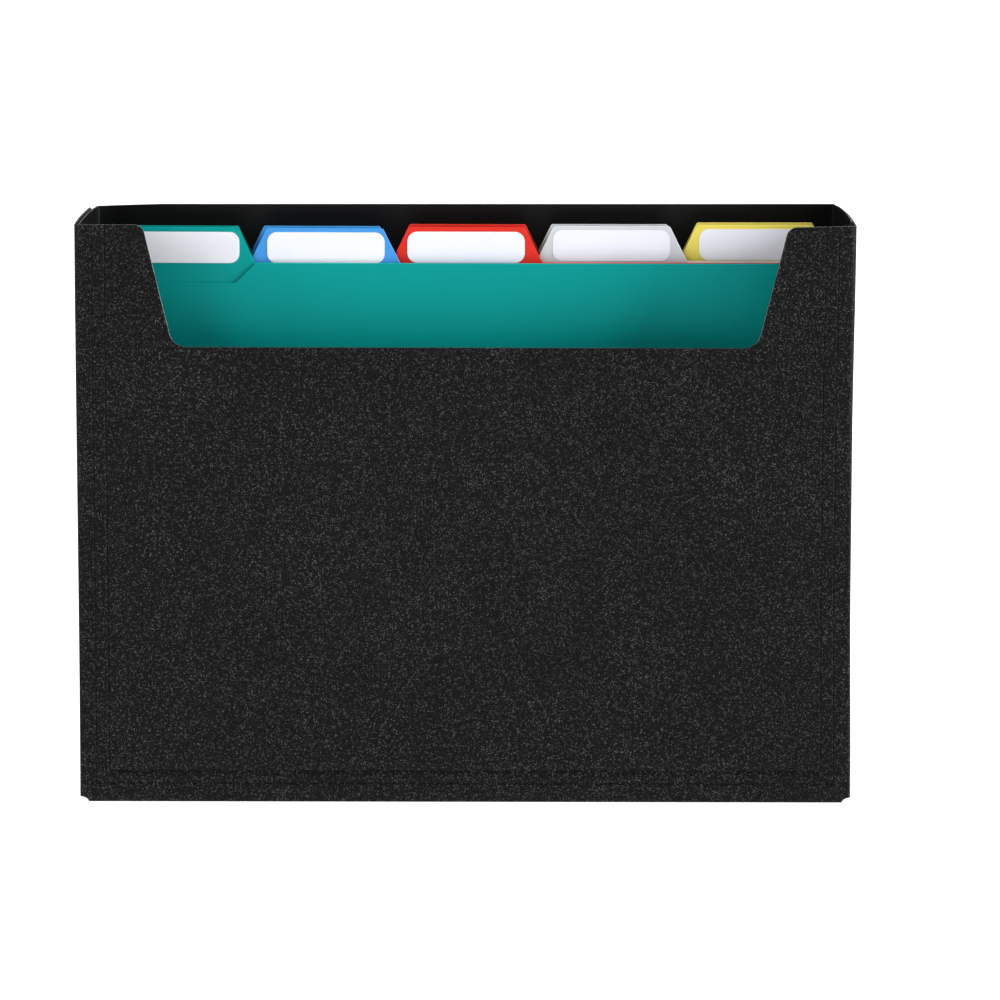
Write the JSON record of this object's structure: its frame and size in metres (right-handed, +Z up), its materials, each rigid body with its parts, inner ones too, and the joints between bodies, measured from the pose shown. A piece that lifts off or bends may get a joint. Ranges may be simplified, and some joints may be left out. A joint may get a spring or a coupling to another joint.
{
  "type": "tabbed folder file case",
  "caption": "Open-topped black plastic file case with a cut-away front, holding coloured tabbed file folders with white labels.",
  "frame": {"origin": "centre of the case's footprint, on the surface it stands on", "axes": "+X to the right seen from the front, +Y from the cut-away front panel to the back panel, +Z up"},
  "size_m": [0.3136, 0.075, 0.2366],
  "materials": {
    "case_plastic": "sand-textured polypropylene sheet outside, smooth inside",
    "teal_plastic": "satin polypropylene sheet",
    "blue_plastic": "satin polypropylene sheet",
    "red_plastic": "satin polypropylene sheet",
    "grey_plastic": "satin polypropylene sheet",
    "yellow_plastic": "satin polypropylene sheet",
    "label_paper": "smooth label paper"
  },
  "bodies": {
    "case": {"case_front_panel": "case_plastic", "case_back_panel": "case_plastic", "case_bottom_panel": "case_plastic", "case_left_outer_flap": "case_plastic", "case_left_inner_flap": "case_plastic", "case_right_outer_flap": "case_plastic", "case_right_inner_flap": "case_plastic"},
    "folder_01_teal": {"folder_01_teal_back_leaf": "teal_plastic", "folder_01_teal_label": "label_paper"},
    "folder_01_teal_front": {"folder_01_teal_front_leaf": "teal_plastic"},
    "folder_02_blue": {"folder_02_blue_back_leaf": "blue_plastic", "folder_02_blue_label": "label_paper"},
    "folder_02_blue_front": {"folder_02_blue_front_leaf": "blue_plastic"},
    "folder_03_red": {"folder_03_red_back_leaf": "red_plastic", "folder_03_red_label": "label_paper"},
    "folder_03_red_front": {"folder_03_red_front_leaf": "red_plastic"},
    "folder_04_grey": {"folder_04_grey_back_leaf": "grey_plastic", "folder_04_grey_label": "label_paper"},
    "folder_04_grey_front": {"folder_04_grey_front_leaf": "grey_plastic"},
    "folder_05_yellow": {"folder_05_yellow_back_leaf": "yellow_plastic", "folder_05_yellow_label": "label_paper"},
    "folder_05_yellow_front": {"folder_05_yellow_front_leaf": "yellow_plastic"},
    "folder_06_teal": {"folder_06_teal_back_leaf": "teal_plastic", "folder_06_teal_label": "label_paper"},
    "folder_06_teal_front": {"folder_06_teal_front_leaf": "teal_plastic"},
    "folder_07_blue": {"folder_07_blue_back_leaf": "blue_plastic", "folder_07_blue_label": "label_paper"},
    "folder_07_blue_front": {"folder_07_blue_front_leaf": "blue_plastic"},
    "folder_08_red": {"folder_08_red_back_leaf": "red_plastic", "folder_08_red_label": "label_paper"},
    "folder_08_red_front": {"folder_08_red_front_leaf": "red_plastic"},
    "folder_09_grey": {"folder_09_grey_back_leaf": "grey_plastic", "folder_09_grey_label": "label_paper"},
    "folder_09_grey_front": {"folder_09_grey_front_leaf": "grey_plastic"},
    "folder_10_yellow": {"folder_10_yellow_back_leaf": "yellow_plastic", "folder_10_yellow_label": "label_paper"},
    "folder_10_yellow_front": {"folder_10_yellow_front_leaf": "yellow_plastic"}
  },
  "joints": [
    {"name": "folder_01_teal_lift", "type": "slide", "parent": "case", "child": "folder_01_teal", "axis": [0, 0, 1], "range_m": [0, 0.235]},
    {"name": "folder_01_teal_fold", "type": "hinge", "parent": "folder_01_teal", "child": "folder_01_teal_front", "pos_m": [0.0011, -0.01025, 0.00243], "axis": [1, 0, 0], "range_deg": [0, 6.4]},
    {"name": "folder_02_blue_lift", "type": "slide", "parent": "case", "child": "folder_02_blue", "axis": [0, 0, 1], "range_m": [0, 0.235]},
    {"name": "folder_02_blue_fold", "type": "hinge", "parent": "folder_02_blue", "child": "folder_02_blue_front", "pos_m": [0.0015, -0.00845, 0.00202], "axis": [1, 0, 0], "range_deg": [0, 0.1]},
    {"name": "folder_03_red_lift", "type": "slide", "parent": "case", "child": "folder_03_red", "axis": [0, 0, 1], "range_m": [0, 0.235]},
    {"name": "folder_03_red_fold", "type": "hinge", "parent": "folder_03_red", "child": "folder_03_red_front", "pos_m": [0.0005, -0.00665, 0.00243], "axis": [1, 0, 0], "range_deg": [0, 0.1]},
    {"name": "folder_04_grey_lift", "type": "slide", "parent": "case", "child": "folder_04_grey", "axis": [0, 0, 1], "range_m": [0, 0.235]},
    {"name": "folder_04_grey_fold", "type": "hinge", "parent": "folder_04_grey", "child": "folder_04_grey_front", "pos_m": [0.0009, -0.00485, 0.00282], "axis": [1, 0, 0], "range_deg": [0, 0.1]},
    {"name": "folder_05_yellow_lift", "type": "slide", "parent": "case", "child": "folder_05_yellow", "axis": [0, 0, 1], "range_m": [0, 0.235]},
    {"name": "folder_05_yellow_fold", "type": "hinge", "parent": "folder_05_yellow", "child": "folder_05_yellow_front", "pos_m": [0.0006, -0.00305, 0.00313], "axis": [1, 0, 0], "range_deg": [0, 0.1]},
    {"name": "folder_06_teal_lift", "type": "slide", "parent": "case", "child": "folder_06_teal", "axis": [0, 0, 1], "range_m": [0, 0.235]},
    {"name": "folder_06_teal_fold", "type": "hinge", "parent": "folder_06_teal", "child": "folder_06_teal_front", "pos_m": [0.0011, -0.00125, 0.00213], "axis": [1, 0, 0], "range_deg": [0, 0.1]},
    {"name": "folder_07_blue_lift", "type": "slide", "parent": "case", "child": "folder_07_blue", "axis": [0, 0, 1], "range_m": [0, 0.235]},
    {"name": "folder_07_blue_fold", "type": "hinge", "parent": "folder_07_blue", "child": "folder_07_blue_front", "pos_m": [0.0001, 0.00055, 0.00202], "axis": [1, 0, 0], "range_deg": [0, 0.1]},
    {"name": "folder_08_red_lift", "type": "slide", "parent": "case", "child": "folder_08_red", "axis": [0, 0, 1], "range_m": [0, 0.235]},
    {"name": "folder_08_red_fold", "type": "hinge", "parent": "folder_08_red", "child": "folder_08_red_front", "pos_m": [0.0008, 0.00235, 0.00272], "axis": [1, 0, 0], "range_deg": [0, 0.1]},
    {"name": "folder_09_grey_lift", "type": "slide", "parent": "case", "child": "folder_09_grey", "axis": [0, 0, 1], "range_m": [0, 0.235]},
    {"name": "folder_09_grey_fold", "type": "hinge", "parent": "folder_09_grey", "child": "folder_09_grey_front", "pos_m": [0, 0.00415, 0.00263], "axis": [1, 0, 0], "range_deg": [0, 0.1]},
    {"name": "folder_10_yellow_lift", "type": "slide", "parent": "case", "child": "folder_10_yellow", "axis": [0, 0, 1], "range_m": [0, 0.235]},
    {"name": "folder_10_yellow_fold", "type": "hinge", "parent": "folder_10_yellow", "child": "folder_10_yellow_front", "pos_m": [0.0008, 0.00595, 0.00313], "axis": [1, 0, 0], "range_deg": [0, 0.1]}
  ]
}
